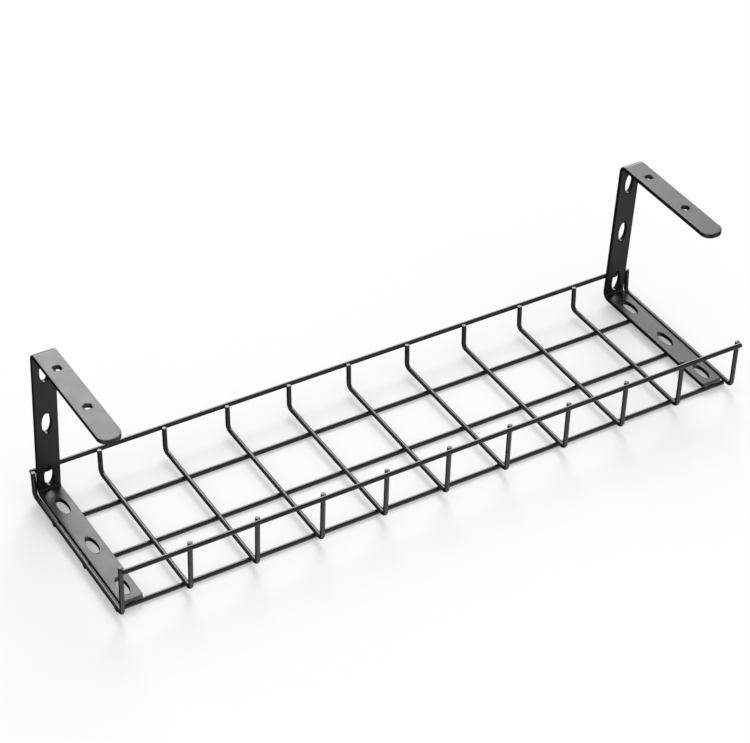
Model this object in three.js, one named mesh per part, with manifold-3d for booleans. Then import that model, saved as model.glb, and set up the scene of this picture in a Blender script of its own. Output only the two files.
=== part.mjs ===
// Under-desk cable tray: a welded wire basket hung on two C-shaped strip brackets.
// Units are millimetres. +X runs along the tray, -Y is the tall front wall, +Z is up.
// The origin is the centre of the bounding box, on the plane that the floor wires stand on.

import * as THREE from 'three';
import { mergeVertices } from 'three/addons/utils/BufferGeometryUtils.js';
import Module from 'manifold-3d';

// Wire
const WIRE_DIAMETER = 3;
const WIRE_SIDES = 12;
const WELD_GAP = 0.3; // clearance left where two welded pieces touch
const BEND_RADIUS = 3; // centre line of a cross wire's bends
const BEND_STEPS = 5;

// Basket
const CROSS_WIRE_COUNT = 11;
const CROSS_WIRE_PITCH = 43;
const FLOOR_DEPTH = 113; // between the centre lines of the front and back walls, at the floor
const FRONT_RIM_RISE = 33.5; // rim centre above the cross wires' floor run
const BACK_RIM_RISE = 14.5;
const FRONT_LEAN = THREE.MathUtils.degToRad(2.2); // inward
const BACK_LEAN = THREE.MathUtils.degToRad(5.5); // outward
const FRONT_TIP_RISE = 0.8; // cut tips of the cross wires above the front rim's centre line
const BACK_TIP_RISE = 1.9;
const LONG_WIRE_OVERHANG = 0.5; // past the centre lines of the end cross wires
const FLOOR_WIRE_PITCH = 40;
const FRONT_FLOOR_WIRE_SETBACK = 7.9; // front floor wire behind the front wall's centre line
const FLOOR_WIRE_NAMES = ['floor_wire_front', 'floor_wire_middle', 'floor_wire_back'];

// Brackets
const STRIP_WIDTH = 14.4;
const STRIP_THICKNESS = 3;
const STRIP_INNER_BEND = 1.2;
const STRIP_OUTER_BEND = 5.5; // more than inner bend plus thickness, because the metal thins as it folds
const BRACKET_HEIGHT = 105.8; // underside of the lower flange to the top of the upper flange
const UPPER_FLANGE_LENGTH = 90;
const LOWER_FLANGE_LENGTH = 109;
const UPPER_CORNER_RADIUS = 6;
const LOWER_CORNER_RADIUS = 1.6;
const BRACKET_SIDE_GAP = 0.9; // between a bracket's edge and the end cross wire
const SCREW_HOLE_DIAMETER = 5;
const SLOT_WIDTH = 6.2; // the slots are ellipses
const SLOT_LENGTH = 15;
const FLANGE_HOLE_START = 20.7; // first hole from the back of the leg, on both flanges
const FLANGE_HOLE_PITCH = 38.2;
const SCREW_HOLE_COUNT = 2;
const LOWER_SLOT_COUNT = 3;
const LEG_SLOT_HEIGHTS = [12.7, 52.5, 90.4]; // above the underside of the lower flange
const HOLE_SEGMENTS = 28;
const STRIP_BEND_SEGMENTS = 10;
const CORNER_SEGMENTS = 12;
const CUT_MARGIN = 2; // how far a cutter reaches past the metal

// Worked out from the dimensions above
const WIRE_RADIUS = WIRE_DIAMETER / 2;
const TOUCHING = WIRE_DIAMETER + WELD_GAP; // centre distance of two wires welded together
const CROSS_Z = WIRE_RADIUS + TOUCHING;
const END_X = (CROSS_WIRE_PITCH * (CROSS_WIRE_COUNT - 1)) / 2;
const FRONT_Y = -FLOOR_DEPTH / 2;
const BACK_Y = FLOOR_DEPTH / 2;
const FRONT_RIM_Y = FRONT_Y + FRONT_RIM_RISE * Math.tan(FRONT_LEAN) - TOUCHING / Math.cos(FRONT_LEAN);
const BACK_RIM_Y = BACK_Y + BACK_RIM_RISE * Math.tan(BACK_LEAN) + TOUCHING / Math.cos(BACK_LEAN);
const LONG_WIRE_LENGTH = 2 * (END_X + LONG_WIRE_OVERHANG);
const BRACKET_BACK_Y = BACK_RIM_Y - WIRE_RADIUS - WELD_GAP;
const BRACKET_BASE_Z = WIRE_DIAMETER + WELD_GAP;
const BRACKET_TOP_Z = BRACKET_BASE_Z + BRACKET_HEIGHT;
const BRACKET_X = END_X - WIRE_RADIUS - BRACKET_SIDE_GAP - STRIP_WIDTH / 2;
const CENTRE_Y = (FRONT_RIM_Y - WIRE_RADIUS + BACK_RIM_Y + WIRE_RADIUS) / 2;

const wasm = await Module();
wasm.setup();

const wireCoat = new THREE.MeshStandardMaterial({ color: 0x17181a, roughness: 0.42, metalness: 0.1 });
const bracketCoat = new THREE.MeshStandardMaterial({ color: 0x1b1c1e, roughness: 0.48, metalness: 0.1 });

// A wire's centre line, given as stations that each carry a point and a direction.
class WirePath extends THREE.Curve {
  constructor(stations) {
    super();
    this.stations = stations;
  }

  station(t) {
    const place = t * (this.stations.length - 1);
    const index = Math.min(Math.floor(place), this.stations.length - 2);
    return { from: this.stations[index], to: this.stations[index + 1], share: place - index };
  }

  getPoint(t, target = new THREE.Vector3()) {
    const { from, to, share } = this.station(t);
    return target.lerpVectors(from.point, to.point, share);
  }

  getTangent(t, target = new THREE.Vector3()) {
    const { from, to, share } = this.station(t);
    return target.lerpVectors(from.tangent, to.tangent, share).normalize();
  }

  // The stations are spaced as the wire needs them, not evenly along its length.
  getPointAt(u, target) {
    return this.getPoint(u, target);
  }

  getTangentAt(u, target) {
    return this.getTangent(u, target);
  }
}

function direction(from, to) {
  return new THREE.Vector3().subVectors(to, from).normalize();
}

// Stations through a list of corners, with an arc of BEND_RADIUS in place of each inner corner.
function bentStations(corners) {
  const last = corners.length - 1;
  const stations = [{ point: corners[0], tangent: direction(corners[0], corners[1]) }];
  for (let i = 1; i < last; i += 1) {
    const into = direction(corners[i - 1], corners[i]);
    const out = direction(corners[i], corners[i + 1]);
    const turn = into.angleTo(out);
    const axis = new THREE.Vector3().crossVectors(into, out).normalize();
    const start = corners[i].clone().addScaledVector(into, -BEND_RADIUS * Math.tan(turn / 2));
    const inward = new THREE.Vector3().crossVectors(axis, into);
    const centre = start.clone().addScaledVector(inward, BEND_RADIUS);
    for (let step = 0; step <= BEND_STEPS; step += 1) {
      const angle = (turn * step) / BEND_STEPS;
      const point = start.clone().sub(centre).applyAxisAngle(axis, angle).add(centre);
      const tangent = into.clone().applyAxisAngle(axis, angle);
      stations.push({ point, tangent });
    }
  }
  stations.push({ point: corners[last], tangent: direction(corners[last - 1], corners[last]) });
  return stations;
}

// The round section is a polygon with a corner at its lowest, highest and outermost points.
function wireSection() {
  const points = [];
  for (let i = 0; i < WIRE_SIDES; i += 1) {
    const angle = (2 * Math.PI * i) / WIRE_SIDES;
    points.push(new THREE.Vector2(WIRE_RADIUS * Math.cos(angle), WIRE_RADIUS * Math.sin(angle)));
  }
  return new THREE.Shape(points);
}

function wireMesh(name, corners) {
  const path = new WirePath(bentStations(corners));
  const steps = path.stations.length - 1;
  const geometry = new THREE.ExtrudeGeometry(wireSection(), { steps, extrudePath: path });
  const mesh = new THREE.Mesh(geometry, wireCoat);
  mesh.name = name;
  return mesh;
}

// A cross wire: tall front upright, floor run, short back upright leaning out.
function crossWire(index) {
  const frontTip = FRONT_RIM_RISE + FRONT_TIP_RISE;
  const backTip = BACK_RIM_RISE + BACK_TIP_RISE;
  const mesh = wireMesh(`cross_wire_${String(index + 1).padStart(2, '0')}`, [
    new THREE.Vector3(0, FRONT_Y + frontTip * Math.tan(FRONT_LEAN), frontTip),
    new THREE.Vector3(0, FRONT_Y, 0),
    new THREE.Vector3(0, BACK_Y, 0),
    new THREE.Vector3(0, BACK_Y + backTip * Math.tan(BACK_LEAN), backTip),
  ]);
  mesh.position.set(-END_X + index * CROSS_WIRE_PITCH, 0, CROSS_Z);
  return mesh;
}

// A straight wire along the tray, centred on x = 0.
function longWire(name, y, z) {
  const mesh = wireMesh(name, [
    new THREE.Vector3(-LONG_WIRE_LENGTH / 2, 0, 0),
    new THREE.Vector3(LONG_WIRE_LENGTH / 2, 0, 0),
  ]);
  mesh.position.set(0, y, z);
  return mesh;
}

// Turns a closed geometry into a solid that can be cut.
function solidOf(geometry) {
  const bare = geometry.clone();
  bare.deleteAttribute('normal');
  bare.deleteAttribute('uv');
  const merged = mergeVertices(bare, 1e-5);
  const vertProperties = new Float32Array(merged.attributes.position.array);
  const triVerts = new Uint32Array(merged.index.array);
  return new wasm.Manifold(new wasm.Mesh({ numProp: 3, vertProperties, triVerts }));
}

function geometryOf(solid) {
  const cut = solid.getMesh();
  const geometry = new THREE.BufferGeometry();
  geometry.setAttribute('position', new THREE.BufferAttribute(new Float32Array(cut.vertProperties), 3));
  geometry.setIndex(new THREE.BufferAttribute(new Uint32Array(cut.triVerts), 1));
  geometry.computeVertexNormals();
  return geometry;
}

// Side view of the strip, in the bracket's own (y, z): back of the leg at y = 0, base at z = 0.
function stripOutline() {
  const t = STRIP_THICKNESS;
  const outer = STRIP_OUTER_BEND;
  const innerArc = t + STRIP_INNER_BEND;
  const top = BRACKET_HEIGHT;
  const outline = new THREE.Shape();
  outline.moveTo(-LOWER_FLANGE_LENGTH, 0);
  outline.absarc(-outer, outer, outer, -Math.PI / 2, 0, false);
  outline.absarc(-outer, top - outer, outer, 0, Math.PI / 2, false);
  outline.lineTo(-UPPER_FLANGE_LENGTH, top);
  outline.lineTo(-UPPER_FLANGE_LENGTH, top - t);
  outline.absarc(-innerArc, top - innerArc, STRIP_INNER_BEND, Math.PI / 2, 0, true);
  outline.absarc(-innerArc, innerArc, STRIP_INNER_BEND, 0, -Math.PI / 2, true);
  outline.lineTo(-LOWER_FLANGE_LENGTH, t);
  return outline;
}

function bentStrip() {
  const options = { depth: STRIP_WIDTH, bevelEnabled: false, curveSegments: STRIP_BEND_SEGMENTS / 2 };
  const geometry = new THREE.ExtrudeGeometry(stripOutline(), options);
  geometry.translate(0, 0, -STRIP_WIDTH / 2);
  const sideways = new THREE.Matrix4().makeBasis(
    new THREE.Vector3(0, 1, 0),
    new THREE.Vector3(0, 0, 1),
    new THREE.Vector3(1, 0, 0),
  );
  return geometry.applyMatrix4(sideways);
}

// An elliptical hole, width across x and length along y.
function holeShape(width, length) {
  return new THREE.Shape().absellipse(0, 0, width / 2, length / 2, 0, 2 * Math.PI, false, 0);
}

// Extrudes a shape through the strip. The extrusion gives every arc twice the curve segments it is told.
function cutterThrough(shape, arcSegments) {
  const depth = STRIP_THICKNESS + 2 * CUT_MARGIN;
  const options = { depth, bevelEnabled: false, curveSegments: arcSegments / 2 };
  return new THREE.ExtrudeGeometry(shape, options).translate(0, 0, -CUT_MARGIN);
}

// What a corner loses when it is rounded; the metal lies towards +x and +y of the corner.
function cornerShape(radius) {
  const shape = new THREE.Shape();
  shape.moveTo(-CUT_MARGIN, -CUT_MARGIN);
  shape.lineTo(radius, -CUT_MARGIN);
  shape.absarc(radius, radius, radius, -Math.PI / 2, -Math.PI, true);
  shape.lineTo(-CUT_MARGIN, radius);
  return shape;
}

function cornerCutters(radius, endY, baseZ) {
  return [0, 1].map((side) => {
    const cutter = cutterThrough(cornerShape(radius), CORNER_SEGMENTS);
    if (side === 1) {
      cutter.rotateZ(Math.PI / 2);
    }
    const edgeX = side === 0 ? -STRIP_WIDTH / 2 : STRIP_WIDTH / 2;
    return cutter.translate(edgeX, endY, baseZ);
  });
}

function flangeHole(shape, index, baseZ) {
  const y = -(FLANGE_HOLE_START + index * FLANGE_HOLE_PITCH);
  return cutterThrough(shape, HOLE_SEGMENTS).translate(0, y, baseZ);
}

function legSlot(height) {
  const cutter = cutterThrough(holeShape(SLOT_WIDTH, SLOT_LENGTH), HOLE_SEGMENTS);
  return cutter.rotateX(Math.PI / 2).translate(0, 0, height);
}

function bracketGeometry() {
  const upperZ = BRACKET_HEIGHT - STRIP_THICKNESS;
  const cutters = [
    ...cornerCutters(UPPER_CORNER_RADIUS, -UPPER_FLANGE_LENGTH, upperZ),
    ...cornerCutters(LOWER_CORNER_RADIUS, -LOWER_FLANGE_LENGTH, 0),
    ...LEG_SLOT_HEIGHTS.map(legSlot),
  ];
  const screwHole = holeShape(SCREW_HOLE_DIAMETER, SCREW_HOLE_DIAMETER);
  for (let i = 0; i < SCREW_HOLE_COUNT; i += 1) {
    cutters.push(flangeHole(screwHole, i, upperZ));
  }
  const lowerSlot = holeShape(SLOT_WIDTH, SLOT_LENGTH);
  for (let i = 0; i < LOWER_SLOT_COUNT; i += 1) {
    cutters.push(flangeHole(lowerSlot, i, 0));
  }
  return geometryOf(cutters.map(solidOf).reduce((metal, cutter) => metal.subtract(cutter), solidOf(bentStrip())));
}

function bracketMesh(name, side, geometry) {
  const mesh = new THREE.Mesh(geometry, bracketCoat);
  mesh.name = name;
  mesh.position.set(side * BRACKET_X, BRACKET_BACK_Y, BRACKET_BASE_Z);
  return mesh;
}

const tray = new THREE.Group();
tray.name = 'cable_tray';
for (let i = 0; i < CROSS_WIRE_COUNT; i += 1) {
  tray.add(crossWire(i));
}
FLOOR_WIRE_NAMES.forEach((name, i) => {
  tray.add(longWire(name, FRONT_Y + FRONT_FLOOR_WIRE_SETBACK + i * FLOOR_WIRE_PITCH, WIRE_RADIUS));
});
tray.add(longWire('rim_wire_front', FRONT_RIM_Y, CROSS_Z + FRONT_RIM_RISE));
tray.add(longWire('rim_wire_back', BACK_RIM_Y, CROSS_Z + BACK_RIM_RISE));
const sharedBracket = bracketGeometry();
tray.add(bracketMesh('bracket_left', -1, sharedBracket));
tray.add(bracketMesh('bracket_right', 1, sharedBracket));
tray.position.y = -CENTRE_Y;
tray.updateMatrixWorld(true);

export default tray;
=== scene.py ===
"""Looks of a welded wire cable tray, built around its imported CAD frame.

Everything is in metres in the frame's own axes: +X along the tray, -Y towards the tall front wall, +Z up.
Places and sizes come from the boxes of the CAD nodes; the dimensions below are what a box can't say.
"""

import math
import random

import bmesh
import bpy
from mathutils import Matrix, Vector, noise
from mathutils.geometry import delaunay_2d_cdt


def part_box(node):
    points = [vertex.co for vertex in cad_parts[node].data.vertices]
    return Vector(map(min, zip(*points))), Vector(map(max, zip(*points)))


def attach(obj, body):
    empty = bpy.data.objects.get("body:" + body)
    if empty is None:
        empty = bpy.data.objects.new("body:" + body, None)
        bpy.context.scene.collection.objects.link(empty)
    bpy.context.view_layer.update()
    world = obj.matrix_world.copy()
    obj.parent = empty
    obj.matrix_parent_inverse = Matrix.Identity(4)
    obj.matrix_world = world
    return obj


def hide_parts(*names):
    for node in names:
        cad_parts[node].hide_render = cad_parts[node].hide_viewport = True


# Wires
WIRE_SIDES = 32
BEND_RADIUS = 0.003  # centre line of a cross wire's bends
BEND_STEPS = 14
FRONT_LEAN = math.radians(2.2)  # front uprights lean in
BACK_LEAN = math.radians(5.5)  # back uprights lean out
FRONT_TIP_RISE = 0.0008  # cut tips of the cross wires above the front rim's centre line
BACK_TIP_RISE = 0.0019  # and above the back rim's
CUT_ROUNDING = 0.00032  # edge of a cut wire end under its coat
CUT_STEPS = 4
CUT_RINGS = (0.8, 0.6, 0.4, 0.2)  # rings on a cut end, as shares of its flat part's radius
CUT_RIDGE = 0.00012  # height of the ridge that the shears leave across a cut end
CUT_RIDGE_WIDTH = 0.35  # as a share of the wire's radius
CUT_TILT = (0.02, 0.1)  # slopes of the cut ends
HOLDING_STEP = 0.0003  # spacing of the extra rings that keep flat shading flat

# Brackets
STRIP_THICKNESS = 0.003
STRIP_INNER_BEND = 0.0012
STRIP_OUTER_BEND = 0.0055
UPPER_FLANGE_LENGTH = 0.09
UPPER_CORNER_RADIUS = 0.006
LOWER_CORNER_RADIUS = 0.0016
SCREW_HOLE_DIAMETER = 0.005
SLOT_WIDTH = 0.0062  # the slots are ellipses
SLOT_LENGTH = 0.015
FLANGE_HOLE_START = 0.0207  # first hole from the back of the leg, on both flanges
FLANGE_HOLE_PITCH = 0.0382
SCREW_HOLE_COUNT = 2
LOWER_SLOT_COUNT = 3
LEG_SLOT_HEIGHTS = (0.0127, 0.0525, 0.0904)  # above the underside of the lower flange
EDGE_ROUNDING = 0.00016
EDGE_STEPS = 4
ROLL_WIDTH = 0.00118  # the blanking press leaves a shallow slope along the strip's edges
ROLL_DEPTH = 0.00009
STRIP_BEND_STEPS = 20
CORNER_STEPS = 10
HOLE_STEPS = 64
SAME_PLACE = 1e-7  # outline points nearer than this are one point
ROUNDING_ERROR = 1e-6  # a part of a direction that is smaller than this is none

# Welds
COLLAR_REACH = 0.00128  # how far a weld's collar reaches along the wires
COLLAR_SIZES = (0.9, 1.1)  # one collar against another
COLLAR_WOBBLE = (0.95, 1.05)  # of the reach round one collar
COLLAR_WAIST = 0.62  # the share of the reach that the middle of the fillet is drawn in to
COLLAR_SINK = 0.1  # the share of the reach that its rims are sunk into the wires
COLLAR_SIDES = 20
COLLAR_STEPS = 8
BEAD_LUMPS = 2.2  # how fine the lumps of a bead are
BEAD_ROUGHNESS = 0.3  # height of the lumps against the bead's size
BEAD_SHIFT = Vector((3.7, 1.3, 2.1))  # through the noise, from one bead to the next
BEAD_STANDOFF = 0.2  # centre of a bead outside the strip's face, as a share of its half size
BEAD_SIZE = Vector((0.0035, 0.0009, 0.0008))  # half sizes of a bead under the lower flange
RIM_BEAD_SIZE = Vector((0.0035, 0.0008, 0.0009))  # behind the leg
BEAD_SIDESTEP = 0.0012  # from a wire's centre line to the bead along it
NUB_SIZE = Vector((0.0026, 0.0011, 0.0013))  # at the front end of the lower flange
NUB_DROP = 0.0006  # centre of the nub below the underside of the flange

# Coat
COAT_COLOUR = (0.007, 0.0071, 0.0075)
COAT_TONES = (0.82, 1.2)  # darkest and lightest patches against that colour
COAT_ROUGHNESS_SPREAD = 0.03
COAT_IOR = 1.5
PATCH_SCALE = 90.0
PATCH_LIMITS = (0.3, 0.7)  # the noise between these makes the whole change of tone and gloss
PEBBLE_SCALE = 2600.0
PEBBLE_HEIGHT = 0.00004
PEBBLE_STRENGTH = 0.12

# Camera and stage. The camera's values come from a least-squares fit to the tray's wires, edges and holes.
CAMERA_AZIMUTH = math.radians(-33.752)
CAMERA_ELEVATION = math.radians(38.512)
CAMERA_ROLL = math.radians(3.551)
CAMERA_AIM = Vector((0.0257, 0.0653, 0.0))
CAMERA_DISTANCE = 1.515
CAMERA_LENS_MM = 114.63
SENSOR_WIDTH_MM = 36.0
FLOOR_SIZE = 24.0
FLOOR_ALBEDO = 0.45
FLOOR_GLOW = 0.34
FLOOR_GAP = 0.00005  # the tray stands on the floor without sharing faces with it

# Lights: name, azimuth, elevation and spread in degrees, strength.
# The first seven sheen lights weren't chosen by hand: a least-squares fit to measured brightness picked
# them from a grid of trial lights and gave their strengths, which were then rounded.
KEY_LIGHT = ("key", 34, 46, 30, 2.05)
SHEEN_LIGHTS = (
    ("sheen_high", 10, 44, 32, 1.6),
    ("sheen_high_right", 27, 44, 32, 0.5),
    ("sheen_middle", 27, 28, 32, 1.1),
    ("sheen_low", 27, 12, 32, 0.65),
    ("sheen_low_right", 44, 12, 32, 0.45),
    ("sheen_overhead", 0, 88, 60, 0.2),
    ("sheen_front", 150, 20, 40, 0.35),
    ("sheen_front_left", 205, 12, 50, 0.35),
    ("sheen_right", 92, 10, 50, 0.7),
    ("sheen_left", 268, 10, 50, 0.6),
    ("sheen_back_left", -70, 22, 44, 0.4),
)

random.seed(7)
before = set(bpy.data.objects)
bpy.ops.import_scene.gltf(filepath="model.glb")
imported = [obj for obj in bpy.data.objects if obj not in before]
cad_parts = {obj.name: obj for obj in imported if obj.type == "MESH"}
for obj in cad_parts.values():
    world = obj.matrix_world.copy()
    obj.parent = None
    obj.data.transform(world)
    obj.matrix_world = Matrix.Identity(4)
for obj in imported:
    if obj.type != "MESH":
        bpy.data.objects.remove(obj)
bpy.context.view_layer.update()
cross_nodes = sorted(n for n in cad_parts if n.startswith("cross_wire"))
floor_wire_low, floor_wire_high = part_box("floor_wire_front")
WIRE_RADIUS = (floor_wire_high.z - floor_wire_low.z) / 2
WELDED_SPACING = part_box(cross_nodes[0])[0].z - floor_wire_low.z  # between crossing centre lines
WELD_GAP = WELDED_SPACING - 2 * WIRE_RADIUS


# --- Mesh helpers -----------------------------------------------------------------------------------


def finished_piece(name, bm, material, slot, *nodes):
    """The closed mesh in bm as a smooth-shaded piece of the tray that stands for some CAD nodes."""
    bmesh.ops.recalc_face_normals(bm, faces=bm.faces)
    mesh = bpy.data.meshes.new(name)
    bm.to_mesh(mesh)
    bm.free()
    mesh.shade_smooth()
    mesh.materials.append(material)
    piece = bpy.data.objects.new(name, mesh)
    bpy.context.scene.collection.objects.link(piece)
    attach(piece, "root")
    if nodes:
        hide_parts(*nodes)
    return piece


def bridge(bm, rings):
    """Quads between neighbouring closed rings of vertices."""
    for ring, following in zip(rings, rings[1:]):
        count = len(ring)
        for i in range(count):
            j = (i + 1) % count
            bm.faces.new((ring[i], ring[j], following[j], following[i]))


def fan(bm, ring, centre):
    """Triangles that close a ring with one vertex in its middle."""
    middle = bm.verts.new(centre)
    for i, vertex in enumerate(ring):
        bm.faces.new((vertex, ring[(i + 1) % len(ring)], middle))


def centre_of(node):
    low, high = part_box(node)
    return (low + high) / 2


# --- Wires ------------------------------------------------------------------------------------------


def bent_path(corners):
    """Points and directions along a wire through these corners, with an arc in place of each inner one."""
    path = [(corners[0], (corners[1] - corners[0]).normalized())]
    for before, corner, after in zip(corners, corners[1:], corners[2:]):
        into = (corner - before).normalized()
        out = (after - corner).normalized()
        turn = into.angle(out)
        axis = into.cross(out).normalized()
        start = corner - into * BEND_RADIUS * math.tan(turn / 2)
        centre = start + axis.cross(into) * BEND_RADIUS
        path.append((start - into * HOLDING_STEP, into))
        for step in range(BEND_STEPS + 1):
            spin = Matrix.Rotation(turn * step / BEND_STEPS, 3, axis)
            path.append((centre + spin @ (start - centre), spin @ into))
        end, direction = path[-1]
        path.append((end + direction * HOLDING_STEP, direction))
    path.append((corners[-1], (corners[-1] - corners[-2]).normalized()))
    return path


def cut_profile():
    """(distance from the tip, ring radius, share of the cut's unevenness) from a wire's side to its tip."""
    profile = [
        (CUT_ROUNDING + 2 * HOLDING_STEP, WIRE_RADIUS, 0.0),
        (CUT_ROUNDING, WIRE_RADIUS, 0.6),
    ]
    for step in range(1, CUT_STEPS + 1):
        angle = math.pi / 2 * step / CUT_STEPS
        back = CUT_ROUNDING * (1 - math.sin(angle))
        profile.append((back, WIRE_RADIUS - CUT_ROUNDING * (1 - math.cos(angle)), 1.0))
    flat = WIRE_RADIUS - CUT_ROUNDING
    for share in CUT_RINGS:
        profile.append((0.0, flat * share, 1.0))
    return profile


def cut_unevenness(across, along, slope_angle, tilt):
    """Height of a sheared end at a point of its disc: a slight slope and a low ridge across the middle."""
    downhill = across * math.cos(slope_angle) + along * math.sin(slope_angle)
    ridge = math.exp(-((downhill / (CUT_RIDGE_WIDTH * WIRE_RADIUS)) ** 2))
    return CUT_RIDGE * (ridge - 1) - tilt * (downhill + WIRE_RADIUS)


def wire_end(bm, tip, outward, side):
    """Rings of vertices from the wire's side in towards its cut tip, and the point in the middle."""
    third = outward.cross(side)
    slope_angle = random.uniform(0, 2 * math.pi)
    tilt = random.uniform(*CUT_TILT)
    rings = []
    for back, ring_radius, share in cut_profile():
        ring = []
        for i in range(WIRE_SIDES):
            angle = 2 * math.pi * i / WIRE_SIDES
            across = ring_radius * math.cos(angle)
            along = ring_radius * math.sin(angle)
            height = share * cut_unevenness(across, along, slope_angle, tilt)
            point = tip + side * across + third * along + outward * (height - back)
            ring.append(bm.verts.new(point))
        rings.append(ring)
    middle = tip + outward * cut_unevenness(0, 0, slope_angle, tilt)
    return rings, middle


def wire_ring(bm, point, direction, side):
    """A ring of vertices round a wire at one point of its path."""
    third = direction.cross(side)
    ring = []
    for i in range(WIRE_SIDES):
        angle = 2 * math.pi * i / WIRE_SIDES
        outward = side * math.cos(angle) + third * math.sin(angle)
        ring.append(bm.verts.new(point + WIRE_RADIUS * outward))
    return ring


def wire_piece(node, path, side, material):
    """A round wire along a path, with a sheared and coated cut at each end, in place of a CAD wire. side is
    square to the whole path and says where the rings start."""
    bm = bmesh.new()
    tail, tail_direction = path[0]
    head, head_direction = path[-1]
    tail_rings, tail_middle = wire_end(bm, tail, -tail_direction, side)
    head_rings, head_middle = wire_end(bm, head, head_direction, side)
    body = [wire_ring(bm, point, direction, side) for point, direction in path[1:-1]]
    # The tail's rings turn the other way round, because they face the other way.
    turned = [[ring[-i % WIRE_SIDES] for i in range(WIRE_SIDES)] for ring in tail_rings]
    bridge(bm, turned[::-1] + body + head_rings)
    fan(bm, turned[-1], tail_middle)
    fan(bm, head_rings[-1], head_middle)
    return finished_piece(f"coated_{node}", bm, material, "wire_coat", node)


def straight_wire(node, material):
    """A wire along the tray, from one end of its CAD box to the other."""
    low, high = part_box(node)
    middle = (low + high) / 2
    ends = [Vector((x, middle.y, middle.z)) for x in (low.x, high.x)]
    return wire_piece(node, bent_path(ends), Vector((0, 1, 0)), material)


def cross_wire_corners(node):
    """Tip, two bends and tip of a cross wire's centre line, from its box and the rims it is welded to."""
    low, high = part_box(node)
    x = (low.x + high.x) / 2
    floor_z = low.z + WIRE_RADIUS
    front_rim = centre_of("rim_wire_front")
    back_rim = centre_of("rim_wire_back")
    front_y = front_rim.y + WELDED_SPACING / math.cos(FRONT_LEAN)
    front_y -= (front_rim.z - floor_z) * math.tan(FRONT_LEAN)
    back_y = back_rim.y - WELDED_SPACING / math.cos(BACK_LEAN)
    back_y -= (back_rim.z - floor_z) * math.tan(BACK_LEAN)
    front_rise = front_rim.z + FRONT_TIP_RISE - floor_z
    back_rise = back_rim.z + BACK_TIP_RISE - floor_z
    return [
        Vector((x, front_y + front_rise * math.tan(FRONT_LEAN), floor_z + front_rise)),
        Vector((x, front_y, floor_z)),
        Vector((x, back_y, floor_z)),
        Vector((x, back_y + back_rise * math.tan(BACK_LEAN), floor_z + back_rise)),
    ]


# --- Brackets ---------------------------------------------------------------------------------------


class Strip:
    """A bracket's metal strip as a flat blank, and how it folds. s runs along it from the front end of the
    lower flange, v across it, and w into it from the face that ends up outside the folds."""

    def __init__(self, node):
        self.low, self.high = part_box(node)
        self.half_width = (self.high.x - self.low.x) / 2
        self.height = self.high.z - self.low.z
        self.lower_length = self.high.y - self.low.y
        self.bend = math.pi / 2 * (STRIP_OUTER_BEND - STRIP_THICKNESS / 2)
        # Places along the blank where the first bend, the leg, the second bend and the upper flange start.
        self.first_bend = self.lower_length - STRIP_OUTER_BEND
        self.leg = self.first_bend + self.bend
        self.second_bend = self.leg + self.height - 2 * STRIP_OUTER_BEND
        self.upper = self.second_bend + self.bend
        self.length = self.upper + UPPER_FLANGE_LENGTH - STRIP_OUTER_BEND

    def folded(self, s, v, w):
        """Where a point of the blank is on the finished bracket."""
        x = (self.low.x + self.high.x) / 2 + v
        back, base, top = self.high.y, self.low.z, self.high.z
        if s <= self.first_bend:
            return Vector((x, self.low.y + s, base + w))
        if s < self.leg:
            angle = (s - self.first_bend) / self.bend * math.pi / 2
            reach = bend_reach(angle, w)
            y = back - STRIP_OUTER_BEND + reach * math.sin(angle)
            return Vector((x, y, base + STRIP_OUTER_BEND - reach * math.cos(angle)))
        if s <= self.second_bend:
            return Vector((x, back - w, base + STRIP_OUTER_BEND + s - self.leg))
        if s < self.upper:
            angle = (s - self.second_bend) / self.bend * math.pi / 2
            reach = bend_reach(angle, w)
            y = back - STRIP_OUTER_BEND + reach * math.cos(angle)
            return Vector((x, y, top - STRIP_OUTER_BEND + reach * math.sin(angle)))
        return Vector((x, back - STRIP_OUTER_BEND - (s - self.upper), top - w))

    def fold_lines(self):
        """Places along the blank where the mesh needs a line straight across it."""
        lines = []
        for start in (self.first_bend, self.second_bend):
            lines.append(start - HOLDING_STEP)
            lines += [start + self.bend * i / STRIP_BEND_STEPS for i in range(STRIP_BEND_STEPS + 1)]
            lines.append(start + self.bend + HOLDING_STEP)
        return lines

    def outline(self):
        """Points round the blank, each with the direction out of the metal."""
        points = []
        half = self.half_width
        for s in self.fold_lines():
            points.append((Vector((s, -half)), Vector((0, -1))))
        radius = UPPER_CORNER_RADIUS
        points += arc(self.length - radius, -half + radius, radius, -90)
        points += arc(self.length - radius, half - radius, radius, 0)
        for s in reversed(self.fold_lines()):
            points.append((Vector((s, half)), Vector((0, 1))))
        radius = LOWER_CORNER_RADIUS
        points += arc(radius, half - radius, radius, 90)
        points += arc(radius, -half + radius, radius, 180)
        return points

    def holes(self):
        """(middle along the blank, width, length) of every hole."""
        found = []
        for i in range(LOWER_SLOT_COUNT):
            from_back = FLANGE_HOLE_START + i * FLANGE_HOLE_PITCH
            found.append((self.lower_length - from_back, SLOT_WIDTH, SLOT_LENGTH))
        for height in LEG_SLOT_HEIGHTS:
            found.append((self.leg + height - STRIP_OUTER_BEND, SLOT_WIDTH, SLOT_LENGTH))
        for i in range(SCREW_HOLE_COUNT):
            from_back = FLANGE_HOLE_START + i * FLANGE_HOLE_PITCH
            s = self.upper + from_back - STRIP_OUTER_BEND
            found.append((s, SCREW_HOLE_DIAMETER, SCREW_HOLE_DIAMETER))
        return found


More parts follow.
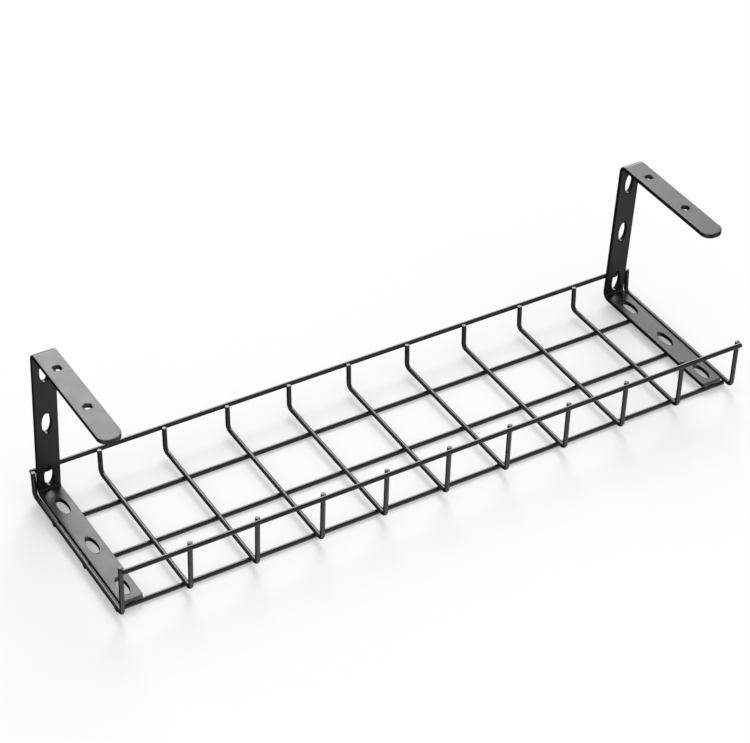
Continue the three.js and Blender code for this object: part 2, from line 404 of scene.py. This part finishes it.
def bend_reach(angle, w):
    """Distance from the centre of a bend's outer curve to the metal at a depth w. The inner face is a corner
    with a small fillet, so the metal is thinner across the bend."""
    flat = STRIP_OUTER_BEND - STRIP_THICKNESS
    fillet = flat - STRIP_INNER_BEND
    nearer = min(angle, math.pi / 2 - angle)
    if flat * math.tan(nearer) <= fillet:
        inner = flat / math.cos(nearer)
    else:
        along = fillet * (math.cos(angle) + math.sin(angle))
        inner = along + math.sqrt(along**2 - 2 * fillet**2 + STRIP_INNER_BEND**2)
    return STRIP_OUTER_BEND + (inner - STRIP_OUTER_BEND) * w / STRIP_THICKNESS


def arc(s, v, radius, start_degrees):
    """A quarter circle of outline points with their outward directions."""
    points = []
    for step in range(CORNER_STEPS + 1):
        angle = math.radians(start_degrees + 90 * step / CORNER_STEPS)
        outward = Vector((math.cos(angle), math.sin(angle)))
        points.append((Vector((s, v)) + outward * radius, outward))
    return points


def hole_outline(middle, width, length):
    """Points round an elliptical hole, each with the direction out of the metal, which is into the hole."""
    points = []
    for step in range(HOLE_STEPS):
        angle = 2 * math.pi * (step + 0.5) / HOLE_STEPS
        point = Vector((length / 2 * math.cos(angle), width / 2 * math.sin(angle)))
        outward = Vector((point.x / length**2, point.y / width**2)).normalized()
        points.append((Vector((middle, 0)) + point, -outward))
    return points


def edge_profile(roll_width, roll_depth):
    """(inset, depth) of the rings round an edge, from the outer face over the cut edge to the inner face."""
    rounding = []
    for step in range(EDGE_STEPS + 1):
        angle = math.pi / 2 * step / EDGE_STEPS
        inset = EDGE_ROUNDING * (1 - math.sin(angle))
        rounding.append((inset, roll_depth + EDGE_ROUNDING * (1 - math.cos(angle))))
    face = [(roll_width + HOLDING_STEP / 2, 0.0), (roll_width, 0.0)]
    wall = [(0.0, roll_depth + EDGE_ROUNDING + HOLDING_STEP / 2)]
    half = face + rounding + wall
    return half + [(inset, STRIP_THICKNESS - depth) for inset, depth in reversed(half)]


def face_triangles(loops, strip):
    """Triangles of a flat face between the edges' innermost rings, as triples of (loop, place in the loop).
    Lines straight across the blank hold the folds, where no hole is in their way."""
    points = []
    keys = []
    edges = []
    across = {}
    for k, (outline, profile) in enumerate(loops):
        first = len(points)
        inset = profile[0][0]
        for i, (point, outward) in enumerate(outline):
            points.append(point - outward * inset)
            keys.append((k, i))
            edges.append((first + i, first + (i + 1) % len(outline)))
            if k == 0 and abs(outward.x) < ROUNDING_ERROR and not beside_hole(point.x, strip):
                across.setdefault(round(point.x / SAME_PLACE), []).append(first + i)
    edges += [tuple(pair) for pair in across.values() if len(pair) == 2]
    corners, _, triangles, sources, _, _ = delaunay_2d_cdt(points, edges, [], 1, SAME_PLACE)
    kept = []
    for triangle in triangles:
        centre = sum((corners[i] for i in triangle), Vector((0, 0))) / 3
        if not any(in_hole(centre, *hole) for hole in strip.holes()):
            kept.append([keys[sources[i][0]] for i in triangle])
    return kept


def beside_hole(s, strip):
    """Whether a line across the blank would run into a hole or its rounded edge."""
    return any(abs(s - middle) < length / 2 + 2 * HOLDING_STEP for middle, _, length in strip.holes())


def in_hole(point, middle, width, length):
    """Whether a point of the blank is inside an elliptical hole."""
    return ((point.x - middle) / (length / 2)) ** 2 + (point.y / (width / 2)) ** 2 < 1


def bracket_piece(node, material):
    """A folded strip with rounded edges and holes, in place of a CAD bracket."""
    strip = Strip(node)
    hole_profile = edge_profile(EDGE_ROUNDING + HOLDING_STEP, 0.0)
    loops = [(strip.outline(), edge_profile(ROLL_WIDTH, ROLL_DEPTH))]
    loops += [(hole_outline(*hole), hole_profile) for hole in strip.holes()]
    bm = bmesh.new()
    outer_rings = []
    inner_rings = []
    for outline, profile in loops:
        rings = []
        for inset, depth in profile:
            flat = [point - outward * inset for point, outward in outline]
            rings.append([bm.verts.new(strip.folded(p.x, p.y, depth)) for p in flat])
        bridge(bm, rings)
        outer_rings.append(rings[0])
        inner_rings.append(rings[-1])
    for triangle in face_triangles(loops, strip):
        bm.faces.new([outer_rings[k][i] for k, i in triangle])
        bm.faces.new([inner_rings[k][i] for k, i in reversed(triangle)])
    return finished_piece(f"coated_{node}", bm, material, "bracket_coat", node)


# --- Welds ------------------------------------------------------------------------------------------


def wire_surface(distance):
    """Height of a wire's surface above the contact plane at a distance to the side of its centre line."""
    return WELD_GAP / 2 + WIRE_RADIUS - math.sqrt(max(WIRE_RADIUS**2 - distance**2, 0.0))


def weld_collar(bm, contact, first_axis, second_axis):
    """The fillet round the spot where two crossing wires are fused. The second wire is on the side that
    first_axis cross second_axis points to."""
    normal = first_axis.cross(second_axis).normalized()
    reach = COLLAR_REACH * random.uniform(*COLLAR_SIZES)
    sink = COLLAR_SINK * reach
    rings = [[] for _ in range(COLLAR_STEPS + 1)]
    for i in range(COLLAR_SIDES):
        angle = 2 * math.pi * i / COLLAR_SIDES
        outward = first_axis * math.cos(angle) + second_axis * math.sin(angle)
        spread = reach * random.uniform(*COLLAR_WOBBLE)
        low = -wire_surface(spread * math.sin(angle))
        high = wire_surface(spread * math.cos(angle))
        start = outward * (spread - sink) + normal * (low - sink)
        end = outward * (spread - sink) + normal * (high + sink)
        waist = outward * COLLAR_WAIST * spread + normal * (low + high) / 2
        for step, ring in enumerate(rings):
            t = step / COLLAR_STEPS
            point = start * (1 - t) ** 2 + waist * 2 * t * (1 - t) + end * t**2
            ring.append(bm.verts.new(contact + point))
    bridge(bm, rings)
    fan(bm, rings[0], contact - normal * WIRE_RADIUS / 2)
    fan(bm, rings[-1], contact + normal * WIRE_RADIUS / 2)


def weld_bead(bm, middle, half_size, seed):
    """A lumpy bead of weld metal, partly sunk into what it joins. Each seed gives other lumps."""
    made = bmesh.ops.create_icosphere(bm, subdivisions=4, radius=1.0)
    offset = seed * BEAD_SHIFT
    for vertex in made["verts"]:
        swell = 1 + BEAD_ROUGHNESS * noise.noise(vertex.co * BEAD_LUMPS + offset)
        vertex.co = middle + Vector([c * h * swell for c, h in zip(vertex.co, half_size)])


def crossing_welds(long_node, long_direction, cross_direction, material):
    """The fused spots along one long wire, at every cross wire. The cross wires are on the side of it that
    long_direction cross cross_direction points to."""
    bm = bmesh.new()
    line = centre_of(long_node)
    towards_cross_wires = long_direction.cross(cross_direction)
    for node in cross_nodes:
        place = Vector((centre_of(node).x, line.y, line.z))
        contact = place + towards_cross_wires * WELDED_SPACING / 2
        weld_collar(bm, contact, long_direction, cross_direction)
    return finished_piece(f"welds_{long_node}", bm, material, "wire_coat")


def bracket_welds(bracket, material):
    """Beads that join a bracket to the wires: at the front end of its lower flange, where the flange lies on
    the floor wires, and behind its leg on the back rim."""
    bm = bmesh.new()
    low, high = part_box(bracket)
    middle_x = (low.x + high.x) / 2
    weld_bead(bm, Vector((middle_x, low.y, low.z - NUB_DROP)), NUB_SIZE, 1)
    for seed, node in enumerate(("floor_wire_middle", "floor_wire_back"), start=2):
        wire = centre_of(node)
        for side in (-1, 1):
            below = low.z - BEAD_SIZE.z * BEAD_STANDOFF
            place = Vector((middle_x, wire.y + side * BEAD_SIDESTEP, below))
            weld_bead(bm, place, BEAD_SIZE, seed * side)
    rim = centre_of("rim_wire_back")
    for side in (-1, 1):
        behind = high.y + RIM_BEAD_SIZE.y * BEAD_STANDOFF
        place = Vector((middle_x, behind, rim.z + side * BEAD_SIDESTEP))
        weld_bead(bm, place, RIM_BEAD_SIZE, 5 * side)
    return finished_piece(f"welds_{bracket}", bm, material, "bracket_coat")


# --- Materials --------------------------------------------------------------------------------------


def powder_coat(name, roughness, specular):
    """Satin black powder coat: a fine pebbled skin, a little uneven in gloss and depth of colour."""
    material = bpy.data.materials.new(name)
    material.use_nodes = True
    nodes = material.node_tree.nodes
    links = material.node_tree.links
    shader = nodes["Principled BSDF"]
    shader.inputs["IOR"].default_value = COAT_IOR
    shader.inputs["Specular IOR Level"].default_value = specular
    place = nodes.new("ShaderNodeTexCoord")

    patches = nodes.new("ShaderNodeTexNoise")
    patches.inputs["Scale"].default_value = PATCH_SCALE
    patches.inputs["Detail"].default_value = 3.0
    links.new(place.outputs["Object"], patches.inputs["Vector"])

    tone = nodes.new("ShaderNodeValToRGB")
    for stop, position, shade in zip(tone.color_ramp.elements, PATCH_LIMITS, COAT_TONES):
        stop.position = position
        stop.color = [c * shade for c in COAT_COLOUR] + [1.0]
    links.new(patches.outputs["Fac"], tone.inputs["Fac"])
    links.new(tone.outputs["Color"], shader.inputs["Base Color"])

    gloss = nodes.new("ShaderNodeMapRange")
    gloss.inputs["From Min"].default_value = PATCH_LIMITS[0]
    gloss.inputs["From Max"].default_value = PATCH_LIMITS[1]
    gloss.inputs["To Min"].default_value = roughness - COAT_ROUGHNESS_SPREAD
    gloss.inputs["To Max"].default_value = roughness + COAT_ROUGHNESS_SPREAD
    links.new(patches.outputs["Fac"], gloss.inputs["Value"])
    links.new(gloss.outputs["Result"], shader.inputs["Roughness"])

    pebbles = nodes.new("ShaderNodeTexNoise")
    pebbles.inputs["Scale"].default_value = PEBBLE_SCALE
    pebbles.inputs["Detail"].default_value = 2.0
    links.new(place.outputs["Object"], pebbles.inputs["Vector"])
    skin = nodes.new("ShaderNodeBump")
    skin.inputs["Strength"].default_value = PEBBLE_STRENGTH
    skin.inputs["Distance"].default_value = PEBBLE_HEIGHT
    links.new(pebbles.outputs["Fac"], skin.inputs["Height"])
    links.new(skin.outputs["Normal"], shader.inputs["Normal"])
    return material


def plain_floor():
    """A pale sheet that glows a little, as if lit from below too, so the shadows on it stay light."""
    material = bpy.data.materials.new("pale_floor")
    material.use_nodes = True
    shader = material.node_tree.nodes["Principled BSDF"]
    shader.inputs["Base Color"].default_value = (FLOOR_ALBEDO, FLOOR_ALBEDO, FLOOR_ALBEDO, 1)
    shader.inputs["Roughness"].default_value = 1.0
    shader.inputs["Specular IOR Level"].default_value = 0.0
    shader.inputs["Emission Color"].default_value = (1, 1, 1, 1)
    shader.inputs["Emission Strength"].default_value = FLOOR_GLOW
    half = FLOOR_SIZE / 2
    mesh = bpy.data.meshes.new("floor")
    corners = [(-half, -half), (half, -half), (half, half), (-half, half)]
    mesh.from_pydata([(x, y, -FLOOR_GAP) for x, y in corners], [], [(0, 1, 2, 3)])
    mesh.materials.append(material)
    floor = bpy.data.objects.new("floor", mesh)
    bpy.context.scene.collection.objects.link(floor)
    floor.visible_glossy = False


# --- Camera and light -------------------------------------------------------------------------------


def photo_camera():
    """The main view, turned by a few degrees about its own line of sight."""
    data = bpy.data.cameras.new("camera")
    data.sensor_width = SENSOR_WIDTH_MM
    data.lens = CAMERA_LENS_MM
    camera = bpy.data.objects.new("camera", data)
    bpy.context.scene.collection.objects.link(camera)
    az, el = CAMERA_AZIMUTH, CAMERA_ELEVATION
    back = Vector((math.sin(az) * math.cos(el), -math.cos(az) * math.cos(el), math.sin(el)))
    level = Vector((math.cos(az), math.sin(az), 0))
    upward = back.cross(level)
    right = level * math.cos(CAMERA_ROLL) + upward * math.sin(CAMERA_ROLL)
    up = back.cross(right)
    place = Matrix((right, up, back)).transposed().to_4x4()
    place.translation = CAMERA_AIM + back * CAMERA_DISTANCE
    camera.matrix_world = place
    bpy.context.scene.camera = camera


def direction_to(azimuth, elevation):
    """Unit vector towards a light. Azimuth 0 is behind the tray (+Y) and 90 to its right (+X)."""
    a, e = math.radians(azimuth), math.radians(elevation)
    return Vector((math.sin(a) * math.cos(e), math.cos(a) * math.cos(e), math.sin(e)))


def soft_light(name, azimuth, elevation, spread, strength):
    """A large distant light that fills an angle of spread degrees in the sky. Returns the light."""
    data = bpy.data.lights.new(name, "SUN")
    data.energy = strength
    data.angle = math.radians(spread)
    light = bpy.data.objects.new(name, data)
    bpy.context.scene.collection.objects.link(light)
    light.rotation_mode = "QUATERNION"
    light.rotation_quaternion = direction_to(azimuth, elevation).to_track_quat("Z", "Y")
    return light


def bounce_board(left, right, front, back, height, brightness):
    """A level white board that only shows as a sheen in the coat."""
    material = bpy.data.materials.new("bounce_board")
    material.use_nodes = True
    shader = material.node_tree.nodes["Principled BSDF"]
    shader.inputs["Base Color"].default_value = (0, 0, 0, 1)
    shader.inputs["Specular IOR Level"].default_value = 0.0
    shader.inputs["Emission Color"].default_value = (1, 1, 1, 1)
    shader.inputs["Emission Strength"].default_value = brightness
    material.cycles.emission_sampling = "NONE"  # only reflections find it
    mesh = bpy.data.meshes.new("bounce_board")
    corners = [(left, front), (right, front), (right, back), (left, back)]
    mesh.from_pydata([(x, y, height) for x, y in corners], [], [(0, 1, 2, 3)])
    mesh.materials.append(material)
    board = bpy.data.objects.new("bounce_board", mesh)
    bpy.context.scene.collection.objects.link(board)
    board.visible_camera = False
    board.visible_diffuse = False
    board.visible_shadow = False


def studio_light():
    """A key light that throws the shadows, soft lights all round that only show as a sheen in the coat, a low
    bounce board in front of the tray and a white backdrop."""
    soft_light(*KEY_LIGHT).visible_glossy = False
    for sheen in SHEEN_LIGHTS:
        soft_light(*sheen).visible_diffuse = False
    bounce_board(left=-0.6, right=0.42, front=-0.235, back=-0.08, height=-0.1, brightness=1.4)
    world = bpy.data.worlds.new("backdrop")
    world.use_nodes = True
    backdrop = world.node_tree.nodes["Background"]
    backdrop.inputs["Color"].default_value = (1, 1, 1, 1)
    backdrop.inputs["Strength"].default_value = 1.0
    world.cycles_visibility.glossy = False
    bpy.context.scene.world = world
    bpy.context.scene.view_settings.view_transform = "Standard"


# --- The tray ---------------------------------------------------------------------------------------

photo_camera()
wire_coat = powder_coat("wire_coat", roughness=0.34, specular=0.6)
bracket_coat = powder_coat("bracket_coat", roughness=0.4, specular=0.5)
along_tray = Vector((1, 0, 0))
for node in cross_nodes:
    wire_piece(node, bent_path(cross_wire_corners(node)), along_tray, wire_coat)
for node in ("floor_wire_front", "floor_wire_middle", "floor_wire_back"):
    straight_wire(node, wire_coat)
    crossing_welds(node, along_tray, Vector((0, 1, 0)), wire_coat)
for node, direction, lean in (
    ("rim_wire_front", -along_tray, FRONT_LEAN),
    ("rim_wire_back", along_tray, BACK_LEAN),
):
    straight_wire(node, wire_coat)
    upright = Vector((0, math.sin(lean), math.cos(lean)))
    crossing_welds(node, direction, upright, wire_coat)
for node in ("bracket_left", "bracket_right"):
    bracket_piece(node, bracket_coat)
    bracket_welds(node, bracket_coat)
plain_floor()
studio_light()
